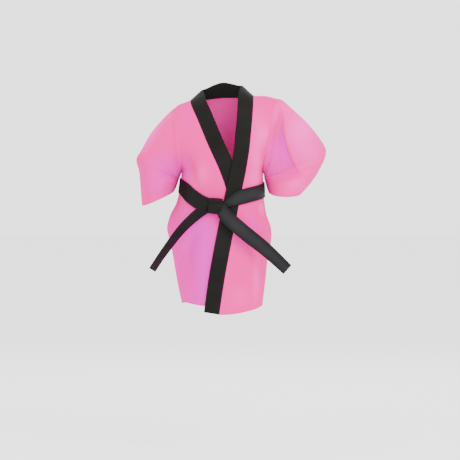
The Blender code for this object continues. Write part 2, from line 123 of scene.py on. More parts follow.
HEMS = {"right": Hem(0.541, 0.014), "left": Hem(0.553, 0.022), "back": Hem(0.547, 0.006)}

# Folds and creases: a line as seen from the front, the depth out of the cloth and the width
Fold = namedtuple("Fold", "x_top down_top x_end down_end depth width")
FOLDS = {
    "front": [
        Fold(-0.098, 0.150, -0.070, 0.225, -0.0045, 0.012),
        Fold(-0.070, 0.120, -0.046, 0.230, 0.0030, 0.016),
        Fold(0.092, 0.095, 0.094, 0.215, 0.0040, 0.013),
        Fold(-0.088, 0.315, -0.092, 0.470, -0.0045, 0.014),
        Fold(-0.052, 0.330, -0.060, 0.520, 0.0040, 0.018),
        Fold(0.086, 0.300, 0.094, 0.450, -0.0050, 0.013),
        Fold(0.062, 0.310, 0.068, 0.540, 0.0040, 0.017),
        Fold(0.104, 0.400, 0.092, 0.550, 0.0035, 0.014),
        Fold(-0.086, 0.172, -0.066, 0.236, -0.0020, 0.007),
        Fold(-0.040, 0.205, -0.034, 0.252, -0.0016, 0.006),
        Fold(-0.030, 0.345, -0.044, 0.545, -0.0026, 0.010),
        Fold(-0.104, 0.296, -0.116, 0.352, 0.0022, 0.007),
        Fold(-0.066, 0.305, -0.074, 0.380, -0.0018, 0.007),
        Fold(0.076, 0.185, 0.088, 0.236, -0.0022, 0.008),
        Fold(0.070, 0.075, 0.092, 0.160, -0.0014, 0.012),
        Fold(0.108, 0.275, 0.118, 0.350, 0.0026, 0.005),
        Fold(0.098, 0.270, 0.102, 0.345, -0.0028, 0.006),
        Fold(0.074, 0.290, 0.078, 0.350, 0.0016, 0.006),
        Fold(0.060, 0.455, 0.066, 0.560, -0.0024, 0.009),
        Fold(0.088, 0.430, 0.092, 0.555, 0.0022, 0.008),
        Fold(0.030, 0.400, 0.036, 0.545, -0.0018, 0.010),
    ],
    "back": [
        Fold(-0.080, 0.120, -0.050, 0.205, -0.0040, 0.014),
        Fold(0.086, 0.110, 0.052, 0.210, -0.0045, 0.014),
        Fold(-0.084, 0.285, -0.092, 0.520, -0.0050, 0.015),
        Fold(-0.040, 0.290, -0.044, 0.560, 0.0045, 0.016),
        Fold(0.004, 0.285, 0.008, 0.500, -0.0050, 0.014),
        Fold(0.046, 0.290, 0.052, 0.560, 0.0050, 0.015),
        Fold(0.088, 0.285, 0.094, 0.480, -0.0045, 0.013),
        Fold(-0.096, 0.060, -0.070, 0.150, 0.0020, 0.012),
        Fold(0.100, 0.070, 0.078, 0.160, 0.0022, 0.012),
        Fold(-0.024, 0.130, -0.018, 0.208, 0.0018, 0.008),
        Fold(0.020, 0.140, 0.014, 0.206, -0.0018, 0.007),
        Fold(-0.064, 0.262, -0.068, 0.350, -0.0020, 0.007),
        Fold(-0.016, 0.262, -0.020, 0.330, 0.0018, 0.006),
        Fold(0.028, 0.262, 0.026, 0.380, -0.0020, 0.007),
        Fold(0.070, 0.262, 0.074, 0.340, 0.0018, 0.006),
        Fold(-0.020, 0.440, -0.026, 0.560, -0.0020, 0.010),
        Fold(0.074, 0.420, 0.080, 0.560, -0.0022, 0.010),
    ],
    "sleeve_right": [
        Fold(-0.150, 0.120, -0.128, 0.190, -0.0016, 0.014),
        Fold(-0.200, 0.150, -0.206, 0.262, 0.0014, 0.012),
        Fold(-0.172, 0.200, -0.180, 0.270, -0.0012, 0.010),
    ],
    "sleeve_left": [
        Fold(0.154, 0.050, 0.152, 0.185, -0.0075, 0.013),
        Fold(0.172, 0.120, 0.176, 0.190, -0.0060, 0.015),
        Fold(0.196, 0.060, 0.206, 0.150, 0.0045, 0.020),
        Fold(0.268, 0.178, 0.198, 0.194, -0.0056, 0.0052),
        Fold(0.206, 0.196, 0.146, 0.216, -0.0032, 0.0060),
        Fold(0.240, 0.160, 0.214, 0.172, 0.0020, 0.0090),
        Fold(0.136, 0.165, 0.122, 0.205, 0.0022, 0.0050),
    ],
}

# Painted shade and painted highlight: where the cloth is painted more orchid as shade, or paler
# below 0 as highlight; a patch as seen from the front
Patch = namedtuple("Patch", "x down reach_x reach_down strength")
PAINTED_LIGHT_PATCHES = {
    "front": [
        Patch(-0.098, 0.045, 0.016, 0.034, 0.30),
        Patch(-0.112, 0.180, 0.034, 0.034, 0.70),
        Patch(-0.094, 0.206, 0.018, 0.022, 0.50),
        Patch(-0.058, 0.200, 0.022, 0.030, -0.40),
        Patch(-0.066, 0.350, 0.040, 0.060, 0.75),
        Patch(-0.028, 0.350, 0.024, 0.050, 0.30),
        Patch(-0.052, 0.460, 0.038, 0.110, 0.95),
        Patch(-0.122, 0.420, 0.034, 0.120, 0.55),
        Patch(-0.070, 0.540, 0.040, 0.040, 0.40),
        Patch(0.112, 0.098, 0.020, 0.028, -0.50),
        Patch(0.098, 0.062, 0.026, 0.044, -0.18),
        Patch(0.094, 0.166, 0.018, 0.056, -0.52),
        Patch(0.084, 0.220, 0.014, 0.022, -0.30),
        Patch(0.118, 0.190, 0.010, 0.050, 0.80),
        Patch(0.078, 0.328, 0.020, 0.026, 0.42),
        Patch(0.094, 0.350, 0.014, 0.018, 0.35),
        Patch(0.106, 0.290, 0.010, 0.022, -0.45),
        Patch(0.060, 0.378, 0.026, 0.018, 0.45),
        Patch(0.092, 0.480, 0.010, 0.070, -0.35),
        Patch(0.048, 0.530, 0.026, 0.030, -0.20),
    ],
    "back": [
        Patch(-0.070, 0.170, 0.030, 0.060, 0.55),
        Patch(0.074, 0.180, 0.028, 0.055, 0.60),
        Patch(0.004, 0.400, 0.030, 0.100, 0.50),
        Patch(-0.090, 0.400, 0.026, 0.110, 0.45),
        Patch(0.094, 0.380, 0.024, 0.100, 0.50),
        Patch(0.000, 0.080, 0.075, 0.110, -0.85),
        Patch(0.040, 0.480, 0.016, 0.080, -0.35),
    ],
}


def smooth(value, start, end):
    """Runs from 0 at start to 1 at end, with soft ends."""
    share = min(max((value - start) / (end - start), 0.0), 1.0)
    return share * share * (3.0 - 2.0 * share)


def read(table, key):
    """The table's row at any key in its first column, on a smooth curve through its rows."""
    keys = [row[0] for row in table]
    low = min(max(bisect_right(keys, key) - 1, 0), len(keys) - 2)

    def slope(index, column):
        before = max(index - 1, 0)
        after = min(index + 1, len(keys) - 1)
        return (table[after][column] - table[before][column]) / (keys[after] - keys[before])

    span = keys[low + 1] - keys[low]
    t = min(max((key - keys[low]) / span, 0.0), 1.0)
    values = [key]
    for column in range(1, len(table[0])):
        start = table[low][column]
        end = table[low + 1][column]
        rise = (2 * t**3 - 3 * t**2 + 1) * start + (3 * t**2 - 2 * t**3) * end
        bend = (t**3 - 2 * t**2 + t) * slope(low, column) + (t**3 - t**2) * slope(low + 1, column)
        values.append(rise + span * bend)
    return type(table[0])(*values)


def fading(share, ends):
    """1 along the middle of a stretch, falling softly to 0 past each of its ends."""
    return smooth(share, ends[0], ends[1]) * (1.0 - smooth(share, ends[2], ends[3]))


def fold_height(folds, x, down):
    """How far folds lift or sink the cloth at a place seen from the front."""
    total = 0.0
    for fold in folds:
        run_x = fold.x_end - fold.x_top
        run_down = fold.down_end - fold.down_top
        off_x = x - fold.x_top
        off_down = down - fold.down_top
        square = run_x * run_x + run_down * run_down
        aside = (off_x * run_down - off_down * run_x) ** 2 / square
        if aside > FOLD_REACH**2 * fold.width**2:
            continue
        along = (off_x * run_x + off_down * run_down) / square
        total += fold.depth * fading(along, FOLD_FADE) * math.exp(-aside / fold.width**2)
    return total


@lru_cache(maxsize=None)
def ring(face, side, level):
    """Reach, depth and end angle of a level: below 0 in metres, above 0 as a share of the yoke."""
    if level <= 0.0:
        girth = read(GIRTHS, -UNDERARM - level)
        reach = girth.left if side > 0 else girth.right
        return reach, girth.front if face < 0 else girth.back, math.pi / 2
    top = GIRTHS[0]
    depth = (top.front if face < 0 else top.back) * (1.0 - level**ARCH) ** (1.0 / ARCH)
    cut = ARMHOLE_OPEN * math.sqrt(1.0 - (1.0 - level) ** ARMHOLE_ROUND)
    end = math.acos(cut)
    low, high = (top.left, RIDGES[-1].x) if side > 0 else (top.right, -RIDGES[0].x)
    armhole = low + (high - low) * level**ARMHOLE_LEAN
    return armhole / math.sin(end), depth, end


def ripple(point, reach):
    """The slight unevenness of hanging cloth."""
    spot = Vector((point.x / reach, point.y / reach, point.z / (RIPPLE_TALL * reach)))
    return RIPPLE_HEIGHT * noise.noise(spot)


def body_point(face, angle, level, out=0.0):
    """A place on the body, out by a distance. The angle is 0 in the middle and grows leftwards."""
    side = 1 if angle >= 0 else -1
    reach, depth, _ = ring(face, side, level)
    point = Vector((reach * math.sin(angle), face * max(depth * math.cos(angle), CENTRE_GAP), 0.0))
    if level <= 0.0:
        point.z = UNDERARM + level
    else:
        point.z = UNDERARM + (read(RIDGES, point.x).z - UNDERARM) * level
    normal = Vector((depth * math.sin(angle), face * reach * math.cos(angle), 0.0))
    lift = fold_height(FOLDS["front" if face < 0 else "back"], point.x, -point.z)
    lift += ripple(point, BODY_RIPPLE)
    lift *= smooth(math.cos(angle), 0.0, SHADED_SIDE)
    if normal.length > 0:
        point += normal.normalized() * (lift + out)
    return point


def row_level(row, angle, hem):
    """The level of a panel's row: the yoke's rows first, then those down to the hem."""
    if row <= YOKE_ROWS:
        return (1.0 + math.cos(math.pi * row / YOKE_ROWS)) / 2.0
    length = hem.side + hem.droop * math.cos(angle) ** 2 + UNDERARM
    return -length * (row - YOKE_ROWS) / SKIRT_ROWS


def back_turn(column, level):
    """A back column's angle: the outer ones cross the shoulders, the others end at the neck."""
    last = 2 * SHOULDER_COLUMNS + NECK_COLUMNS
    side = -1 if column <= last / 2 else 1
    from_edge = column if side < 0 else last - column
    high = RIDGES[-1].x if side > 0 else -RIDGES[0].x
    top = math.acos(ARMHOLE_OPEN)
    neck = math.asin(NECK_HALF_WIDTH / high * math.sin(top)) / top
    if from_edge <= SHOULDER_COLUMNS:
        share = 1.0 - (1.0 - neck) * from_edge / SHOULDER_COLUMNS
    else:
        share = neck * (1.0 - (from_edge - SHOULDER_COLUMNS) / (NECK_COLUMNS / 2))
    return side * share * ring(1, side, level)[2], share / neck


def back_point(column, row, out=0.0):
    """A place on the back panel, out from it by a distance."""
    level = row_level(row, 0.0, HEMS["back"])
    angle, share = back_turn(column, level)
    if row <= YOKE_ROWS:
        if share < 1.0:
            level *= 1.0 - (1.0 - NAPE_RISE) * (1.0 - share * share) ** NECK_ROUND
            angle = back_turn(column, level)[0]
    else:
        level = row_level(row, angle, HEMS["back"])
    return body_point(1, angle, level, out)


def painted_light_strength(patches, point):
    """How much painted shade (orchid) or, below 0, painted highlight (paler pink) a place gets."""
    total = 0.0
    for patch in patches:
        aside = (point.x - patch.x) / patch.reach_x
        below = (-point.z - patch.down) / patch.reach_down
        total += patch.strength * math.exp(-(aside**2 + below**2))
    return min(max(total, -1.0), 1.0)


def with_hem(place, last, fineness):
    """The same cloth with its last edge folded inward and up."""

    def turned(column, row):
        if row <= last:
            return place(column, row)
        step = round((row - last) * fineness)
        if step < len(HEM_FOLD):
            inward, up = HEM_FOLD[step]
        else:
            inward = HEM_FOLD[-1].inward
            up = HEM_DEPTH * (step + 1 - len(HEM_FOLD)) / (fineness + 1 - len(HEM_FOLD))
        edge = place(column, last, -inward)
        return edge + (place(column, last - 0.5, -inward) - edge).normalized() * up

    return turned


def stitch_row(name, surface, ends, length, wall, thread, axis_x=0.0):
    """A row of stitches on the outer face of a cloth, from one place on its grid to another."""
    sewing = bmesh.new()
    count = round(length / STITCH_PITCH)
    start, end = Vector(ends[0]), Vector(ends[1])
    for index in range(count):
        u, v = start.lerp(end, (index + 0.5) / count)
        here = surface(u, v)
        step_u = surface(u + STITCH_PROBE, v) - surface(u - STITCH_PROBE, v)
        step_v = surface(u, v + STITCH_PROBE) - surface(u, v - STITCH_PROBE)
        normal = step_u.cross(step_v).normalized()
        if normal.dot(here - Vector((axis_x, 0.0, here.z))) < 0:
            normal = -normal
        run = (step_u * (end.x - start.x) + step_v * (end.y - start.y)).normalized()
        turned = Matrix((run.cross(normal), normal, run)).transposed().to_4x4()
        centre = Matrix.Translation(here + normal * (wall / 2 + STITCH_RADIUS * STITCH_PROUD))
        drawn = Matrix.Diagonal((STITCH_RADIUS, STITCH_RADIUS, STITCH_LENGTH / 2, 1.0))
        shaped = centre @ turned @ drawn
        bmesh.ops.create_uvsphere(sewing, u_segments=6, v_segments=4, radius=1.0, matrix=shaped)
    mesh = bpy.data.meshes.new(name)
    sewing.to_mesh(mesh)
    sewing.free()
    mesh.shade_smooth()
    mesh.materials.append(thread)
    row = bpy.data.objects.new(name, mesh)
    bpy.context.scene.collection.objects.link(row)
    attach(row, "root")
    return row


def cloth_piece(name, counts, flat, place, wall, finish, painted_light=None, edge=None):
    """A cut piece of cloth: a grid laid out by its column and row, then given its thickness."""
    columns, rows, fineness = counts
    cut = bmesh.new()
    weave = cut.loops.layers.uv.new("weave")
    shade = cut.verts.layers.float.new("shade")
    bmesh.ops.create_grid(cut, x_segments=columns * fineness, y_segments=rows * fineness, size=1.0)
    for face in cut.faces:
        for loop in face.loops:
            corner = loop.vert.co
            loop[weave].uv = ((corner.x + 1.0) / 2.0 * flat[0], (corner.y + 1.0) / 2.0 * flat[1])
    for corner in cut.verts:
        column = round((corner.co.x + 1.0) / 2.0 * columns * fineness) / fineness
        row = round((corner.co.y + 1.0) / 2.0 * rows * fineness) / fineness
        corner.co = place(column, row)
        # Each corner keeps its painted shade, highlight or sheen in the shade attribute
        if painted_light:
            corner[shade] = painted_light(corner.co)
    bmesh.ops.remove_doubles(cut, verts=cut.verts, dist=SEWN_SHUT)
    if name in SOFTENED:
        eased = [
            corner
            for corner in cut.verts
            if not corner.is_boundary and abs(corner.co.z - UNDERARM) < EASED_REACH
        ]
        for _ in range(EASED_TIMES):
            bmesh.ops.smooth_vert(
                cut, verts=eased, factor=0.5, use_axis_x=True, use_axis_y=True, use_axis_z=True
            )
    bmesh.ops.recalc_face_normals(cut, faces=cut.faces)
    mesh = bpy.data.meshes.new(name)
    cut.to_mesh(mesh)
    cut.free()
    mesh.shade_smooth()
    mesh.materials.append(finish)
    piece = bpy.data.objects.new(name, mesh)
    bpy.context.scene.collection.objects.link(piece)
    thickness = piece.modifiers.new("thickness", "SOLIDIFY")
    thickness.thickness = wall
    thickness.offset = 0.0
    thickness.use_even_offset = True
    if edge:
        rolled = piece.modifiers.new("rolled edge", "BEVEL")
        rolled.width = edge
        rolled.segments = 2
        rolled.limit_method = "ANGLE"
        rolled.angle_limit = SHARP_EDGE
    return piece


class Wire:
    """A shader socket that Python's signs work on."""

    def __init__(self, finish, socket):
        self.finish = finish
        self.socket = socket

    def worked(self, operation, first, second=0.0):
        return self.finish.node("ShaderNodeMath", {"operation": operation}, {0: first, 1: second})

    def __add__(self, other):
        return self.worked("ADD", self, other)

    __radd__ = __add__

    def __mul__(self, other):
        return self.worked("MULTIPLY", self, other)

    __rmul__ = __mul__

    def __sub__(self, other):
        return self.worked("SUBTRACT", self, other)

    def __rsub__(self, other):
        return self.worked("SUBTRACT", other, self)

    def __abs__(self):
        return self.worked("ABSOLUTE", self)

    def sine(self):
        return self.worked("SINE", self)


class Finish:
    """A material in the making: fixed values go on its shader, and nodes are added one by one."""

    def __init__(self, name, fixed):
        self.material = bpy.data.materials.new(name)
        self.material.use_nodes = True
        self.shader = self.material.node_tree.nodes["Principled BSDF"]
        for socket, value in fixed.items():
            self.shader.inputs[socket].default_value = value

    def feed(self, socket, value):
        if isinstance(value, Wire):
            self.material.node_tree.links.new(value.socket, socket)
        else:
            socket.default_value = value

    def node(self, kind, settings, sockets, output=0):
        made = self.material.node_tree.nodes.new(kind)
        for key, value in settings.items():
            setattr(made, key, value)
        for key, value in sockets.items():
            self.feed(made.inputs[key], value)
        return Wire(self, made.outputs[output])

    def blend(self, share, first, second):
        return self.node("ShaderNodeMix", {"data_type": "RGBA"}, {0: share, 6: first, 7: second}, 2)

    def flat_place(self, axis):
        """How far along the cut cloth a place lies, before it was sewn."""
        flat = self.node("ShaderNodeUVMap", {"uv_map": "weave"}, {})
        return self.node("ShaderNodeSeparateXYZ", {}, {0: flat}, axis)

    def weave(self, pitch):
        """The height of a plain weave, where each thread goes over one and under the next."""
        warp = (self.flat_place(0) * (math.pi / pitch)).sine()
        weft = (self.flat_place(1) * (math.pi / pitch)).sine()
        over = warp * weft
        return abs(warp) * (0.5 + over * 0.5) + abs(weft) * (0.5 - over * 0.5)

    def grain(self, stretch, scale, detail):
        """Uneven threads: noise on the cloth, stretched one way."""
        flat = self.node("ShaderNodeUVMap", {"uv_map": "weave"}, {})
        drawn = self.node("ShaderNodeMapping", {}, {0: flat, 3: stretch})
        inputs = {"Vector": drawn, "Scale": scale, "Detail": detail}
        return self.node("ShaderNodeTexNoise", {}, inputs)

    def slubs(self, scale):
        """Thicker stretches of thread, both ways of the cloth."""
        return self.grain((1.0, 0.05, 1.0), scale, 2.0) + self.grain((0.05, 1.0, 1.0), scale, 2.0)

    def bump(self, height, distance, strength):
        relief = {"Height": height, "Distance": distance, "Strength": strength}
        self.feed(self.shader.inputs["Normal"], self.node("ShaderNodeBump", {}, relief))


THREAD_RELIEF = 0.00012
PINK_PITCH = 0.0009
DYE = (0.73, 0.004, 0.220, 1.0)
# Orchid is painted shade, with a little random mottle; the paler pink is painted highlight
ORCHID_SHADE_AND_MOTTLE = (0.60, 0.004, 0.380, 1.0)
PAINTED_HIGHLIGHT_PINK = (0.93, 0.060, 0.460, 1.0)
WORN_DYE = (0.90, 0.060, 0.380, 1.0)
SHEEN_PINK = (1.0, 0.72, 0.86, 1.0)


def pink_cloth():
    """Soft pink plain weave with a faint sheen, with painted orchid shade where the cloth turns in
    and paler painted highlights.
    """
    sheen = {"Sheen Weight": 0.015, "Sheen Roughness": 0.4, "Sheen Tint": SHEEN_PINK}
    finish = Finish("pink cloth", {"Specular IOR Level": 0.04, **sheen})
    weave = finish.weave(PINK_PITCH)
    slubs = finish.slubs(900.0)
    broad = finish.grain((1.0, 0.6, 1.0), 11.0, 2.0)
    shade = finish.node("ShaderNodeAttribute", {"attribute_name": "shade"}, {}, 2)
    # Painted shade: the shade attribute mixes in orchid, with random mottle added; below 0 it
    # paints a paler highlight
    painted_shade_and_mottle = shade * 0.95 + (broad - 0.5) * 0.25
    shaded_pink = finish.blend(painted_shade_and_mottle, DYE, ORCHID_SHADE_AND_MOTTLE)
    colour = finish.blend(0.0 - shade, shaded_pink, PAINTED_HIGHLIGHT_PINK)
    worn = finish.blend(slubs * 0.16 + weave * 0.10 - 0.21, colour, WORN_DYE)
    finish.feed(finish.shader.inputs["Base Color"], worn)
    finish.feed(finish.shader.inputs["Roughness"], 0.70 + slubs * 0.06)
    finish.bump(weave * 0.6 + slubs * 0.3, THREAD_RELIEF, 0.5)
    return finish.material


def sewing_thread(name, dark, light):
    """Twisted cotton thread, with a little more lustre than the cloth."""
    finish = Finish(name, {"Sheen Weight": 0.02, "Specular IOR Level": 0.2, "Roughness": 0.5})
    place = finish.node("ShaderNodeTexCoord", {}, {}, 3)
    twist = finish.node("ShaderNodeTexNoise", {}, {"Vector": place, "Scale": 2600.0, "Detail": 1.0})
    finish.feed(finish.shader.inputs["Base Color"], finish.blend(twist, dark, light))
    finish.bump(twist, THREAD_RELIEF / 2, 0.4)
    return finish.material


PINK = pink_cloth()
PINK_THREAD = sewing_thread("pink thread", (0.60, 0.006, 0.200, 1.0), (0.82, 0.040, 0.320, 1.0))
BODY_ROWS = YOKE_ROWS + SKIRT_ROWS
HEM_ROW = BODY_ROWS - 0.60
BACK_COLUMNS = 2 * SHOULDER_COLUMNS + NECK_COLUMNS
back = cloth_piece(
    "back_cloth",
    (BACK_COLUMNS, BODY_ROWS + 1, BODY_FINENESS),
    (BACK_CUT.width, BACK_CUT.length),
    with_hem(back_point, BODY_ROWS, BODY_FINENESS),
    CLOTH_WALL,
    PINK,
    partial(painted_light_strength, PAINTED_LIGHT_PATCHES["back"]),
)
back_stitches = stitch_row(
    "back_hem_stitches",
    back_point,
    ((HEM_SEWN_IN, HEM_ROW), (BACK_COLUMNS - HEM_SEWN_IN, HEM_ROW)),
    BACK_HEM_LENGTH,
    CLOTH_WALL,
    PINK_THREAD,
)
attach(back, "root")
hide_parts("back")

# The fronts: two straight panels of the same pink cloth, the left one lapped over the
# right one. Each is sewn to the back at the shoulder and the side, and to the band along the
# slanting edge that runs from the neck to the hem.
FRONT_COLUMNS = 11
LAP = 0.0040
LAP_END_X = (0.083, 0.113)
LAP_START_DOWN = (0.095, 0.150)
EDGE_TRIES = 8
ANGLE_TRIES = 3

Edge = namedtuple("Edge", "down x")
EDGES = {
    "right": [
        Edge(0.000, -0.084),
        Edge(0.012, -0.083),
        Edge(0.054, -0.065),
        Edge(0.119, -0.038),
        Edge(0.205, 0.000),
        Edge(0.270, 0.018),
        Edge(0.576, 0.037),
    ],
    "left": [
        Edge(-0.011, 0.084),
        Edge(0.032, 0.082),
        Edge(0.119, 0.074),
        Edge(0.194, 0.061),
        Edge(0.300, 0.040),
        Edge(0.464, 0.009),
        Edge(0.576, -0.008),
    ],
}


def lap(x, z):
    """How far the upper front stands off the lower one."""
    return LAP * (1.0 - smooth(x, *LAP_END_X)) * smooth(-z, *LAP_START_DOWN)


def level_at(x, z):
    """The body's level at a place seen from the front."""
    if z <= UNDERARM:
        return z - UNDERARM
    return min((z - UNDERARM) / (read(RIDGES, x).z - UNDERARM), 1.0)


def front_at(x, z, upper, out=0.0):
    """A place on the front of the body, from where it is seen."""
    level = level_at(x, z)
    reach = ring(-1, 1 if x >= 0 else -1, level)[0]
    angle = math.asin(min(max(x / reach, -1.0), 1.0))
    return body_point(-1, angle, level, out + (lap(x, z) if upper else 0.0))


@lru_cache(maxsize=None)
def edge_place(row, name):
    """Where a front's row meets the collar: x and z from the front, and the row's angle."""
    side = -1 if name == "right" else 1
    row = min(row, BODY_ROWS)
    x = side * NECK_HALF_WIDTH
    for _ in range(EDGE_TRIES):
        angle = 0.0
        for _ in range(ANGLE_TRIES):
            level = row_level(row, angle, HEMS[name])
            reach = ring(-1, 1 if x >= 0 else -1, level)[0]
            angle = math.asin(min(max(x / reach, -1.0), 1.0))
        z = UNDERARM + level if level <= 0 else UNDERARM + (read(RIDGES, x).z - UNDERARM) * level
        x = read(EDGES[name], -z).x
    return x, z, angle


def front_point(name, column, row, out=0.0):
    """A place on a front, its columns running from the side to the collar, out by a distance."""
    side = -1 if name == "right" else 1
    inner = edge_place(row, name)[2]
    end = ring(-1, side, row_level(row, side * math.pi / 2, HEMS[name]))[2]
    angle = side * end + (inner - side * end) * (column / FRONT_COLUMNS)
    level = row_level(row, angle, HEMS[name])
    if name == "right":
        return body_point(-1, angle, level, out)
    place = body_point(-1, angle, level)
    return body_point(-1, angle, level, out + lap(place.x, place.z))


FRONT_CUTS = {"right": Cut(0.190, 0.574, 0.0887), "left": Cut(0.160, 0.599, 0.0702)}
FRONT_HEM_LENGTHS = {"right": 0.135, "left": 0.120}
for name, cut in FRONT_CUTS.items():
    front = cloth_piece(
        f"front_{name}_cloth",
        (FRONT_COLUMNS, BODY_ROWS + 1, BODY_FINENESS),
        (cut.width, cut.length),
        with_hem(partial(front_point, name), BODY_ROWS, BODY_FINENESS),
        CLOTH_WALL,
        PINK,
        partial(painted_light_strength, PAINTED_LIGHT_PATCHES["front"]),
    )
    front_stitches = stitch_row(
        f"front_{name}_hem_stitches",
        partial(front_point, name),
        ((HEM_SEWN_IN, HEM_ROW), (FRONT_COLUMNS - HEM_SEWN_IN, HEM_ROW)),
        FRONT_HEM_LENGTHS[name],
        CLOTH_WALL,
        PINK_THREAD,
    )
    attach(front, "root")
    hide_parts(f"front_{name}")

# The sleeves: a wide tube each, folded from one straight width of the pink cloth, sewn round the
# armhole and along the underarm, and open at the cuff. Each stands out to an elbow and falls to
# its cuff, with one deep crease across the bend.
SLEEVE_ROWS = 15
SLEEVE_FINENESS = 9
SLEEVE_LENGTH = 0.30
SLEEVE_RADIUS = 0.075
SLEEVE_TUCK = 0.0006
SLEEVE_SEWN_REACH = 0.35
SLEEVE_RIPPLE = 0.040
CREASE_START = 0.10
CREASE_FADE = (-0.20, 0.30, 0.70, 1.20)

Section = namedtuple("Section", "along outer_x outer_down inner_x inner_down depth middle drop")
SLEEVES = {
    "right": [
        Section(0.00, -0.1190, 0.014, -0.1112, 0.190, 0.062, 0.000, 0.000),
        Section(0.15, -0.1500, 0.041, -0.1124, 0.197, 0.067, 0.002, 0.000),
        Section(0.32, -0.1900, 0.087, -0.1134, 0.205, 0.072, 0.006, 0.000),
        Section(0.48, -0.2190, 0.137, -0.1172, 0.214, 0.075, 0.011, 0.000),
        Section(0.60, -0.2310, 0.161, -0.1190, 0.220, 0.077, 0.013, 0.000),
        Section(0.74, -0.2230, 0.196, -0.1216, 0.228, 0.078, 0.011, 0.002),
        Section(0.87, -0.2190, 0.240, -0.1252, 0.237, 0.077, 0.008, 0.004),
        Section(1.00, -0.2155, 0.284, -0.1300, 0.246, 0.075, 0.005, 0.006),
    ],
    "left": [
        Section(0.00, 0.1470, -0.003, 0.1132, 0.190, 0.062, 0.000, 0.000),
        Section(0.07, 0.1640, 0.001, 0.1138, 0.194, 0.065, 0.001, 0.000),
        Section(0.15, 0.1880, 0.022, 0.1140, 0.197, 0.068, 0.002, 0.000),
        Section(0.32, 0.2320, 0.065, 0.1144, 0.205, 0.073, 0.006, 0.000),
        Section(0.48, 0.2660, 0.107, 0.1154, 0.214, 0.077, 0.011, 0.000),
        Section(0.60, 0.2810, 0.141, 0.1180, 0.222, 0.079, 0.013, 0.000),
        Section(0.74, 0.2650, 0.184, 0.1200, 0.231, 0.079, 0.011, 0.004),
        Section(0.87, 0.2410, 0.222, 0.1226, 0.240, 0.078, 0.008, 0.009),
        Section(1.00, 0.2150, 0.250, 0.1262, 0.248, 0.077, 0.005, 0.013),
    ],
}

# Creases round a sleeve: places along it and round it, in degrees from the outer line forwards
Crease = namedtuple("Crease", "along_a round_a along_b round_b depth width")
CREASES = {
    "right": [
        Crease(0.10, 40, 0.22, 150, -0.0060, 0.014),
        Crease(0.56, 150, 0.66, 40, -0.0022, 0.016),
        Crease(0.80, 120, 0.90, 60, 0.0040, 0.020),
        Crease(0.12, 320, 0.24, 210, -0.0060, 0.014),
        Crease(0.58, 205, 0.64, 310, -0.0070, 0.016),
        Crease(0.04, 30, 0.56, 34, -0.0022, 0.010),
        Crease(0.36, 80, 0.46, 150, 0.0020, 0.010),
        Crease(0.66, 160, 0.78, 96, 0.0012, 0.010),
        Crease(0.34, 290, 0.44, 210, 0.0020, 0.010),
        Crease(0.70, 200, 0.86, 270, -0.0018, 0.009),
    ],
    "left": [
        Crease(0.09, 35, 0.20, 150, -0.0060, 0.013),
        Crease(0.64, 30, 0.58, 130, -0.0090, 0.016),
        Crease(0.44, 60, 0.42, 120, 0.0050, 0.022),
        Crease(0.80, 50, 0.80, 110, 0.0060, 0.022),
        Crease(0.12, 320, 0.22, 210, -0.0060, 0.014),
        Crease(0.62, 345, 0.58, 220, -0.0080, 0.016),
        Crease(0.22, 60, 0.34, 150, 0.0024, 0.009),
        Crease(0.50, 150, 0.66, 96, -0.0024, 0.008),
        Crease(0.34, 290, 0.42, 210, 0.0020, 0.010),
        Crease(0.74, 210, 0.84, 280, -0.0018, 0.009),
    ],
}
# Painted shade (orchid) and painted highlight (paler, below 0) on the sleeves, a patch as seen from
# the front
SLEEVE_PAINTED_LIGHT_PATCHES = {
    "right": [
        Patch(-0.126, 0.190, 0.036, 0.036, 0.80),
        Patch(-0.172, 0.176, 0.036, 0.034, 0.42),
        Patch(-0.174, 0.236, 0.034, 0.034, 0.50),
        Patch(-0.150, 0.043, 0.016, 0.012, -0.40),
        Patch(-0.168, 0.060, 0.016, 0.016, -0.50),
        Patch(-0.182, 0.080, 0.014, 0.020, -0.50),
        Patch(-0.194, 0.102, 0.013, 0.022, -0.50),
        Patch(-0.208, 0.128, 0.013, 0.022, -0.45),
    ],
    "left": [
        Patch(0.122, 0.190, 0.016, 0.050, 0.70),
        Patch(0.143, 0.138, 0.016, 0.044, 0.70),
        Patch(0.160, 0.198, 0.034, 0.016, 0.60),
        Patch(0.172, 0.016, 0.020, 0.020, -0.30),
        Patch(0.218, 0.110, 0.066, 0.120, -0.38),
        Patch(0.214, 0.074, 0.034, 0.046, -0.40),
        Patch(0.240, 0.150, 0.024, 0.018, -0.15),
        Patch(0.196, 0.232, 0.036, 0.016, -0.35),
        Patch(0.140, 0.040, 0.012, 0.030, -0.20),
    ],
}

# The deep hollow in the left sleeve's front, between two lines as seen from the front
Hollow = namedtuple("Hollow", "down left right depth")
HOLLOW = [
    Hollow(0.026, 0.153, 0.160, 0.0000),
    Hollow(0.050, 0.147, 0.162, 0.0028),
    Hollow(0.090, 0.139, 0.165, 0.0046),
    Hollow(0.125, 0.133, 0.171, 0.0056),
    Hollow(0.155, 0.128, 0.181, 0.0056),
    Hollow(0.180, 0.124, 0.193, 0.0044),
    Hollow(0.198, 0.121, 0.205, 0.0018),
    Hollow(0.212, 0.120, 0.212, 0.0000),
]
HOLLOW_DEEPEST = 0.0056
HOLLOW_EDGE = 0.0050
HOLLOW_FILLED = 0.85


def armhole_point(side, step):
    """A place on the armhole, from the shoulder over the front to the underarm, and back."""
    face = -1 if step <= YOKE_ROWS else 1
    row = step if face < 0 else 2 * YOKE_ROWS - step
    level = row_level(row, 0.0, HEMS["back"])
    point = body_point(face, side * ring(face, side, level)[2], level)
    if row in (0, YOKE_ROWS):
        point.y = 0.0
    return point


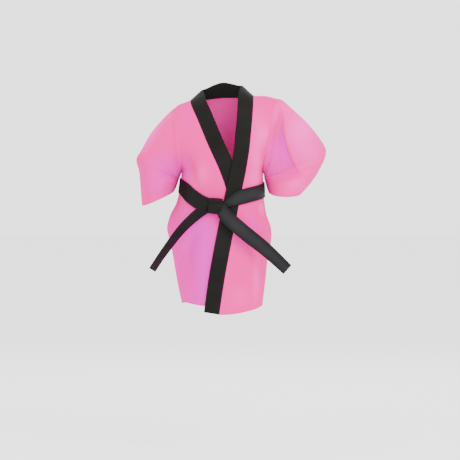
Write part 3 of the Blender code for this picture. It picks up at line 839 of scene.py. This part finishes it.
def crease_height(creases, along, turn):
    """How far creases lift or sink a sleeve's cloth."""
    total = 0.0
    for crease in creases:
        middle = math.radians(crease.round_a + crease.round_b) / 2.0
        near_turn = middle + math.remainder(turn - middle, 2.0 * math.pi)
        turn_a, turn_b = math.radians(crease.round_a), math.radians(crease.round_b)
        start = Vector((crease.along_a * SLEEVE_LENGTH, turn_a * SLEEVE_RADIUS))
        end = Vector((crease.along_b * SLEEVE_LENGTH, turn_b * SLEEVE_RADIUS))
        line = end - start
        offset = Vector((along * SLEEVE_LENGTH, near_turn * SLEEVE_RADIUS)) - start
        share = offset.dot(line) / line.length_squared
        aside = abs(offset.cross(line)) / line.length
        depth = crease.depth * fading(share, CREASE_FADE)
        total += depth * math.exp(-((aside / crease.width) ** 2))
    return total


def section_point(section, turn, out=0.0):
    """A place on a sleeve's section, with turn 0 on the outer line and the front next."""
    outer = Vector((section.outer_x, 0.0, -section.outer_down))
    inner = Vector((section.inner_x, 0.0, -section.inner_down))
    half = (outer - inner) / 2
    deep = Vector((0.0, -section.depth, -section.drop))
    stretch = section.depth / half.length
    normal = half * stretch * math.cos(turn) + deep / stretch * math.sin(turn)
    middle = (outer + inner) / 2 + Vector((0.0, section.middle, 0.0))
    return middle + half * math.cos(turn) + deep * math.sin(turn) + normal.normalized() * out


def hollow_share(point):
    """How far into the deep hollow a place lies: 0 outside it and 1 along its far edge."""
    row = read(HOLLOW, -point.z)
    if -point.z <= HOLLOW[0].down or -point.z >= HOLLOW[-1].down:
        return 0.0
    reached = smooth((point.x - row.left) / (row.right - row.left), 0.0, HOLLOW_FILLED)
    inside = 1.0 - smooth(point.x, row.right, row.right + HOLLOW_EDGE)
    return row.depth / HOLLOW_DEEPEST * reached * inside


def sleeve_point(name, step, row, out=0.0):
    """A place on a sleeve, whose first row follows the armhole, out from it by a distance."""
    table = SLEEVES[name]
    side = -1 if name == "right" else 1
    along = min(row / SLEEVE_ROWS, 1.0)
    turn = math.pi * (step % (2 * YOKE_ROWS)) / YOKE_ROWS
    section = read(table, along)
    plain = section_point(section, turn)
    shown = fold_height(FOLDS[f"sleeve_{name}"], plain.x, -plain.z)
    if name == "left":
        shown -= HOLLOW_DEEPEST * hollow_share(plain)
    uneven = crease_height(CREASES[name], along, turn) + ripple(plain, SLEEVE_RIPPLE)
    uneven += shown * smooth(math.sin(turn), 0.0, SHADED_SIDE)
    point = section_point(section, turn, uneven * smooth(along, 0.0, CREASE_START) + out)
    first = section_point(table[0], turn)
    sewn = armhole_point(side, step % (2 * YOKE_ROWS)) - first
    sewn.x -= side * SLEEVE_TUCK
    return point + sewn * (1.0 - smooth(along, 0.0, SLEEVE_SEWN_REACH))


def sleeve_painted_light(name, point):
    """The painted shade and highlight on a sleeve, with painted shade strongest in the left one's
    deep hollow.
    """
    painted_light = painted_light_strength(SLEEVE_PAINTED_LIGHT_PATCHES[name], point)
    if name == "left" and point.y < 0.0:
        share = hollow_share(point)
        painted_light += (1.0 - painted_light) * share
    return painted_light


SLEEVE_CUTS = {"right": Cut(0.500, 0.214, 0.0828), "left": Cut(0.520, 0.234, 0.0990)}
CUFF_ROW = SLEEVE_ROWS - 0.55
CUFF_LENGTH = 0.400
SLEEVE_AXIS = {"right": -0.170, "left": 0.170}
for name, cut in SLEEVE_CUTS.items():
    sleeve = cloth_piece(
        f"sleeve_{name}_cloth",
        (2 * YOKE_ROWS, SLEEVE_ROWS + 1, SLEEVE_FINENESS),
        (cut.width, cut.length),
        with_hem(partial(sleeve_point, name), SLEEVE_ROWS, SLEEVE_FINENESS),
        CLOTH_WALL,
        PINK,
        partial(sleeve_painted_light, name),
    )
    cuff_stitches = stitch_row(
        f"cuff_{name}_stitches",
        partial(sleeve_point, name),
        ((0.0, CUFF_ROW), (2 * YOKE_ROWS, CUFF_ROW)),
        CUFF_LENGTH,
        CLOTH_WALL,
        PINK_THREAD,
        SLEEVE_AXIS[name],
    )
    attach(sleeve, "root")
    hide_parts(f"sleeve_{name}")

# The collar: one long band of black plain weave, doubled over a firm strip and sewn over the
# raw edges of both fronts and the neckline. It runs from hem to hem, lies flat on the chest and
# stands up round the neck, and its ends are turned in square at the hem.
BAND_WIDTH = 0.0415
BAND_WALL = 0.0022
BAND_COLUMNS = 3
BAND_FINENESS = 5
BAND_TUCK = 0.0006
BAND_STATIONS = 2 * BODY_ROWS + NECK_COLUMNS
BAND_CUT = Cut(BAND_WIDTH, 1.500)
BAND_SEAM_LENGTH = 1.400
BAND_SEWN_IN = 0.17
BAND_SEWN_FROM = 0.3
ROLLED_EDGE = 0.0007
FLAT_DEPTH = 0.066
FLAT_START = 1.15

# How the band leaves its seam: lie is 0 at the nape, 1 on the shoulder and 2 on the chest
Stand = namedtuple("Stand", "lie inward back up")
STANDS = [
    Stand(0.0, 0.00, -0.16, 0.99),
    Stand(0.5, 0.40, -0.10, 0.91),
    Stand(1.0, 0.72, 0.18, 0.67),
    Stand(1.5, 0.92, 0.02, 0.38),
    Stand(2.0, 0.98, -0.10, 0.05),
]


def stand_direction(lie, side):
    """Which way the band leaves its seam where it stands up round the neck."""
    stand = read(STANDS, lie)
    return Vector((-side * stand.inward, stand.back, stand.up)).normalized()


def front_band(name, row, width):
    """A place on the band along a front, a width away from the seam."""
    side = -1 if name == "right" else 1
    x, z, _ = edge_place(row, name)
    near = edge_place(max(row - 1, 0), name)
    far = edge_place(min(row + 1, BODY_ROWS), name)
    run = Vector((far[0] - near[0], far[1] - near[1])).normalized()
    aside = Vector((run.y, -run.x)) * side
    seam = front_at(x, z, name == "left")
    lie = 1.0 + min(abs(seam.y) / FLAT_DEPTH, 1.0)
    flat = smooth(lie, FLAT_START, STANDS[-1].lie)

    def place(distance):
        spot = front_at(x + aside.x * distance, z + aside.y * distance, name == "left")
        stood = seam + stand_direction(lie, side) * distance
        return stood.lerp(spot, flat)

    true_width = (place(BAND_WIDTH) - seam).length
    return seam + (place(max(width, -BAND_TUCK)) - seam) * (BAND_WIDTH / true_width)


def neck_band(column, width):
    """A place on the band along the back neckline."""
    seam = back_point(column, 0)
    middle = SHOULDER_COLUMNS + NECK_COLUMNS / 2
    lie = abs(column - middle) / (NECK_COLUMNS / 2)
    side = -1 if column <= middle else 1
    return seam + stand_direction(lie, side) * width


@lru_cache(maxsize=None)
def band_point(station, column):
    """A place on the collar, from the right front's hem, round the neck, to the left one's."""
    across = column / BAND_COLUMNS
    width = BAND_WIDTH * across - BAND_TUCK * (1.0 - across)
    if station <= BODY_ROWS:
        return front_band("right", BODY_ROWS - station, width)
    if station < BODY_ROWS + NECK_COLUMNS:
        return neck_band(SHOULDER_COLUMNS + station - BODY_ROWS, width)
    return front_band("left", station - BODY_ROWS - NECK_COLUMNS, width)


BLACK_PITCH = 0.0008
BAND_BLACK = (0.0045, 0.0043, 0.0034, 1.0)
BAND_CHARCOAL = (0.0110, 0.0105, 0.0098, 1.0)


def band_cloth():
    """Black plain weave, matt, charcoal where the light grazes it."""
    sheen = {"Sheen Weight": 0.01, "Sheen Roughness": 0.5}
    finish = Finish("black band", {"Specular IOR Level": 0.07, **sheen})
    weave = finish.weave(BLACK_PITCH)
    slubs = finish.slubs(800.0)
    broad = finish.grain((1.0, 0.4, 1.0), 14.0, 3.0)
    charcoal_share = (broad - 0.35) * 1.1 + (slubs - 1.0) * 0.35
    colour = finish.blend(charcoal_share, BAND_BLACK, BAND_CHARCOAL)
    finish.feed(finish.shader.inputs["Base Color"], colour)
    finish.feed(finish.shader.inputs["Roughness"], 0.62 + slubs * 0.08)
    finish.bump(weave * 0.6 + slubs * 0.35, THREAD_RELIEF, 0.5)
    return finish.material


BAND = band_cloth()
collar = cloth_piece(
    "collar_band",
    (BAND_STATIONS, BAND_COLUMNS, BAND_FINENESS),
    (BAND_CUT.length, BAND_CUT.width),
    band_point,
    BAND_WALL,
    BAND,
    edge=ROLLED_EDGE,
)
BLACK_THREAD = sewing_thread("black thread", (0.005, 0.005, 0.005, 1.0), (0.020, 0.020, 0.021, 1.0))
band_stitches = stitch_row(
    "collar_stitches",
    band_point,
    ((BAND_SEWN_FROM, BAND_SEWN_IN), (BAND_STATIONS - BAND_SEWN_FROM, BAND_SEWN_IN)),
    BAND_SEAM_LENGTH,
    BAND_WALL,
    BLACK_THREAD,
)
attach(collar, "root")
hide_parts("collar")

# The belt: a strip of black plain weave folded in four and sewn flat. It goes once round the
# waist, dips to the tie at the front and rises again at both sides.
BELT_WIDTH = 0.0385
BELT_WALL = 0.0022
BELT_STEPS = 64
BELT_COLUMNS = 3
BELT_FINENESS = 4
BELT_OUT = 0.0026
BELT_CROWN = 0.0008
BELT_LAYERS = 0.0046
BELT_RAISED = (-0.065, -0.018, 0.084, 0.120)
BELT_CUT = Cut(BELT_WIDTH, 0.720)
BELT_SEWN_IN = 0.15
TURN_PROBE = 2.0
GATHER_RIGHT = 0.15
GATHER_LEFT = 0.60
GATHERED = (-0.046, -0.018, -0.008, 0.056)
KNOT_X = -0.014
# Strength of the painted sheen along the belt's middle: dim, bright, and the x over which it turns
# bright
BELT_SHEEN_DIM = 0.10
BELT_SHEEN_BRIGHT = 0.85
BELT_SHEEN_RISE_X = (-0.02, 0.04)
PLEAT_HEIGHT = 0.0007
PLEAT_TURNS = 2.5

Wrap = namedtuple("Wrap", "turn down")
WRAPS = [
    Wrap(-180, 0.230),
    Wrap(-130, 0.230),
    Wrap(-90, 0.230),
    Wrap(-62, 0.240),
    Wrap(-44, 0.259),
    Wrap(-24, 0.279),
    Wrap(-8, 0.287),
    Wrap(6, 0.279),
    Wrap(27, 0.262),
    Wrap(60, 0.249),
    Wrap(90, 0.242),
    Wrap(130, 0.232),
    Wrap(180, 0.230),
]


def waist_point(turn, down, out=0.0):
    """A place over the waist, with the turn in degrees from the front's middle to the left."""
    turn = (turn + 180.0) % 360.0 - 180.0
    face = -1 if abs(turn) <= 90.0 else 1
    angle = math.radians(turn if face < 0 else math.copysign(180.0 - abs(turn), turn))
    return body_point(face, angle, -down - UNDERARM, out)


def belt_point(step, column):
    """A place on the belt's loop, its columns running from the upper edge to the lower one."""
    across = 2 * column / BELT_COLUMNS - 1
    turn = -180.0 + 360.0 * (step % BELT_STEPS) / BELT_STEPS
    down = read(WRAPS, turn).down
    run = waist_point(turn + TURN_PROBE, down) - waist_point(turn - TURN_PROBE, down)
    arc = run.length / (2.0 * TURN_PROBE)
    after = read(WRAPS, min(turn + TURN_PROBE, 180.0)).down
    before = read(WRAPS, max(turn - TURN_PROBE, -180.0)).down
    slope = math.atan2((after - before) / (2.0 * TURN_PROBE), arc)
    near_x = waist_point(turn, down).x
    pinch = fading(near_x, GATHERED) if abs(turn) < 90.0 else 0.0
    gather = GATHER_RIGHT if near_x < KNOT_X else GATHER_LEFT
    reach = across * BELT_WIDTH / 2 * (1.0 - gather * pinch)
    turn -= reach * math.sin(slope) / arc
    down += reach * math.cos(slope)
    raised = fading(waist_point(turn, down).x, BELT_RAISED) if abs(turn) < 90.0 else 0.0
    crown = BELT_CROWN * (1.0 - across * across)
    pleats = PLEAT_HEIGHT * pinch * math.cos(PLEAT_TURNS * math.pi * across)
    return waist_point(turn, down, BELT_OUT + BELT_LAYERS * raised + crown + pleats)


BELT_BLACK = (0.0042, 0.0040, 0.0034, 1.0)
BELT_CHARCOAL = (0.0150, 0.0148, 0.0170, 1.0)


def belt_cloth():
    """Black plain weave, pressed flat, with random charcoal mottle and a painted charcoal sheen
    along its middle.
    """
    sheen = {"Sheen Weight": 0.02, "Sheen Roughness": 0.4}
    finish = Finish("black belt", {"Specular IOR Level": 0.08, **sheen})
    weave = finish.weave(BLACK_PITCH)
    slubs = finish.slubs(800.0)
    broad = finish.grain((1.0, 0.5, 1.0), 18.0, 3.0)
    off_middle = abs(finish.flat_place(1) - BELT_WIDTH / 2) * (2.0 / BELT_WIDTH)
    shade = finish.node("ShaderNodeAttribute", {"attribute_name": "shade"}, {}, 2)
    # Random mottle plus a painted sheen along the middle, as strong as the shade attribute
    charcoal_share = (broad - 0.5) * 0.8 + (slubs - 1.0) * 0.35 + (1.0 - off_middle * off_middle) * shade
    colour = finish.blend(charcoal_share, BELT_BLACK, BELT_CHARCOAL)
    finish.feed(finish.shader.inputs["Base Color"], colour)
    finish.feed(finish.shader.inputs["Roughness"], 0.52 + slubs * 0.08)
    finish.bump(weave * 0.6 + slubs * 0.35, THREAD_RELIEF, 0.5)
    return finish.material


BELT = belt_cloth()
belt = cloth_piece(
    "belt_waist",
    (BELT_STEPS, BELT_COLUMNS, BELT_FINENESS),
    (BELT_CUT.length, BELT_CUT.width),
    belt_point,
    BELT_WALL,
    BELT,
    # Painted sheen: dim on the -X side of the front, bright on the +X side
    lambda point: BELT_SHEEN_DIM + (BELT_SHEEN_BRIGHT - BELT_SHEEN_DIM) * smooth(point.x, *BELT_SHEEN_RISE_X),
    ROLLED_EDGE,
)
belt_stitches = [
    stitch_row(
        f"belt_{edge}_stitches",
        belt_point,
        ((0.0, column), (BELT_STEPS, column)),
        BELT_CUT.length,
        BELT_WALL,
        BLACK_THREAD,
    )
    for edge, column in (("upper", BELT_SEWN_IN), ("lower", BELT_COLUMNS - BELT_SEWN_IN))
]
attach(belt, "root")
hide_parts("belt_loop")

# The tie: the belt's two strands crossed and pulled tight. One wraps upright round the other,
# which shows as a plump fold, and the free ends leave it below.
STRAND_STEPS = 12
STRAND_COLUMNS = 3
STRAND_FINENESS = 4
STRAND_PROBE = 0.02
STRAND_SEWN_IN = 0.16
STRAND_SEWN_FROM = 0.3
STRAND_SEWN_TO = STRAND_STEPS - 0.1
Strand = namedtuple("Strand", "along x y z across_x across_y across_z width crown")
STRANDS = {
    "knot_wrap": [
        Strand(0.00, -0.0160, -0.0960, -0.2665, 0.97, 0.00, -0.06, 0.034, 0.000),
        Strand(0.12, -0.0160, -0.1035, -0.2670, 0.97, 0.00, -0.06, 0.036, 0.001),
        Strand(0.26, -0.0165, -0.1070, -0.2725, 0.97, 0.00, -0.04, 0.038, 0.002),
        Strand(0.42, -0.0175, -0.1050, -0.2800, 0.97, 0.00, -0.02, 0.037, 0.001),
        Strand(0.60, -0.0190, -0.1072, -0.2905, 0.97, 0.00, -0.02, 0.037, 0.002),
        Strand(0.80, -0.0200, -0.1045, -0.3015, 0.97, 0.00, -0.06, 0.035, 0.001),
        Strand(1.00, -0.0205, -0.0970, -0.3065, 0.97, 0.00, -0.10, 0.032, 0.000),
    ],
    "belt_end_right": [
        Strand(0.00, -0.0330, -0.1020, -0.2850, 0.45, 0.40, -0.60, 0.028, 0.001),
        Strand(0.10, -0.0480, -0.1045, -0.2955, 0.45, 0.50, -0.55, 0.033, 0.001),
        Strand(0.22, -0.0680, -0.1120, -0.3105, 0.45, 0.62, -0.40, 0.0380, 0.001),
        Strand(0.44, -0.1070, -0.1160, -0.3480, 0.40, 0.72, -0.34, 0.0385, 0.001),
        Strand(0.76, -0.1550, -0.1080, -0.4110, 0.36, 0.80, -0.27, 0.0385, 0.001),
        Strand(1.00, -0.1850, -0.1010, -0.4560, 0.35, 0.82, -0.25, 0.0385, 0.000),
    ],
    "belt_end_left": [
        Strand(0.00, -0.0100, -0.1010, -0.2860, -0.50, 0.05, -0.80, 0.028, 0.000),
        Strand(0.09, -0.0010, -0.1045, -0.2970, -0.58, 0.05, -0.76, 0.034, 0.001),
        Strand(0.18, 0.0120, -0.1100, -0.3140, -0.62, 0.05, -0.72, 0.0375, 0.001),
        Strand(0.40, 0.0610, -0.1180, -0.3570, -0.64, 0.05, -0.76, 0.0385, 0.001),
        Strand(0.68, 0.1160, -0.1150, -0.4010, -0.60, 0.36, -0.72, 0.0385, 0.001),
        Strand(1.00, 0.1740, -0.1080, -0.4550, -0.52, 0.60, -0.62, 0.0385, 0.000),
    ],
}


def strand_point(name, step, column):
    """A place on a strand of the belt, bowed a little towards its front."""
    along = step / STRAND_STEPS
    across = 2 * column / STRAND_COLUMNS - 1
    strand = read(STRANDS[name], along)
    turned = Vector((strand.across_x, strand.across_y, strand.across_z)).normalized()
    before = read(STRANDS[name], max(along - STRAND_PROBE, 0.0))
    after = read(STRANDS[name], min(along + STRAND_PROBE, 1.0))
    run = Vector((after.x - before.x, after.y - before.y, after.z - before.z)).normalized()
    face = turned.cross(run).normalized()
    if face.y > 0:
        face = -face
    middle = Vector((strand.x, strand.y, strand.z))
    crown = strand.crown * (1.0 - across * across)
    return middle + turned * (across * strand.width / 2) + face * crown


# Each strand's model node, cut and strength of painted sheen
Strip = namedtuple("Strip", "node cut tone")
STRIPS = {
    "knot_wrap": Strip("belt_knot", Cut(BELT_WIDTH, 0.065), BELT_SHEEN_DIM),
    "belt_end_right": Strip("belt_tail_right", Cut(BELT_WIDTH, 0.270), BELT_SHEEN_DIM),
    "belt_end_left": Strip("belt_tail_left", Cut(BELT_WIDTH, 0.280), BELT_SHEEN_BRIGHT),
}
for name, (node, cut, painted_light) in STRIPS.items():
    strand = cloth_piece(
        name,
        (STRAND_STEPS, STRAND_COLUMNS, STRAND_FINENESS),
        (cut.length, cut.width),
        partial(strand_point, name),
        BELT_WALL,
        BELT,
        lambda point, painted_light=painted_light: painted_light,
        ROLLED_EDGE,
    )
    strand_stitches = [
        stitch_row(
            f"{name}_{edge}_stitches",
            partial(strand_point, name),
            ((STRAND_SEWN_FROM, column), (STRAND_SEWN_TO, column)),
            cut.length,
            BELT_WALL,
            BLACK_THREAD,
        )
        for edge, column in (("upper", STRAND_SEWN_IN), ("lower", STRAND_COLUMNS - STRAND_SEWN_IN))
        if name != "knot_wrap"
    ]
    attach(strand, "root")
    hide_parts(node)

# The studio: a pale floor under the hanging coat, a bright even surround and two soft lamps, with
# the camera level with the coat's chest and looking slightly down.
FLOOR_LEVEL = -0.950
FLOOR_HALF = 40.0
VIEW_CENTRE = Vector((0.0216, 0.0, -0.3510))
VIEW_PLACE = Vector((0.0216, -6.0, -0.28))
VIEW_WIDTH = 1.242
LAMP_AIM = Vector((0.0, 0.0, -0.25))
SURROUND_WHITE = (1.0, 1.0, 1.0, 1.0)
SURROUND_STRENGTH = 2.5
FLOOR_PALE = (0.95, 0.95, 0.95, 1.0)


def soft_lamp(name, place, size, power):
    """A square lamp that faces the coat."""
    light = bpy.data.lights.new(name, "AREA")
    light.size = size
    light.energy = power
    lamp = bpy.data.objects.new(name, light)
    bpy.context.scene.collection.objects.link(lamp)
    lamp.location = place
    lamp.rotation_euler = (LAMP_AIM - Vector(place)).to_track_quat("-Z", "Y").to_euler()


ground = bmesh.new()
bmesh.ops.create_grid(ground, x_segments=1, y_segments=1, size=FLOOR_HALF)
for corner in ground.verts:
    corner.co.z = FLOOR_LEVEL
floor_mesh = bpy.data.meshes.new("studio_floor")
ground.to_mesh(floor_mesh)
ground.free()
floor_finish = Finish("pale floor", {"Base Color": FLOOR_PALE, "Roughness": 0.9})
floor_mesh.materials.append(floor_finish.material)
studio_floor = bpy.data.objects.new("studio_floor", floor_mesh)
bpy.context.scene.collection.objects.link(studio_floor)

soft_lamp("key lamp", (1.6, -2.6, 1.9), 2.0, 110.0)
soft_lamp("fill lamp", (-2.2, -2.4, 0.8), 2.4, 30.0)
soft_lamp("rear lamp", (0.4, 2.8, 1.8), 2.2, 50.0)
surround = bpy.data.worlds.new("surround")
surround.use_nodes = True
backdrop = surround.node_tree.nodes["Background"]
backdrop.inputs["Color"].default_value = SURROUND_WHITE
backdrop.inputs["Strength"].default_value = SURROUND_STRENGTH
bpy.context.scene.world = surround

view = bpy.data.cameras.new("view")
view.sensor_fit = "HORIZONTAL"
view.angle = 2.0 * math.atan(VIEW_WIDTH / 2.0 / (VIEW_CENTRE - VIEW_PLACE).length)
camera = bpy.data.objects.new("camera", view)
bpy.context.scene.collection.objects.link(camera)
camera.location = VIEW_PLACE
camera.rotation_euler = (VIEW_CENTRE - VIEW_PLACE).to_track_quat("-Z", "Y").to_euler()
bpy.context.scene.camera = camera

bpy.context.view_layer.update()
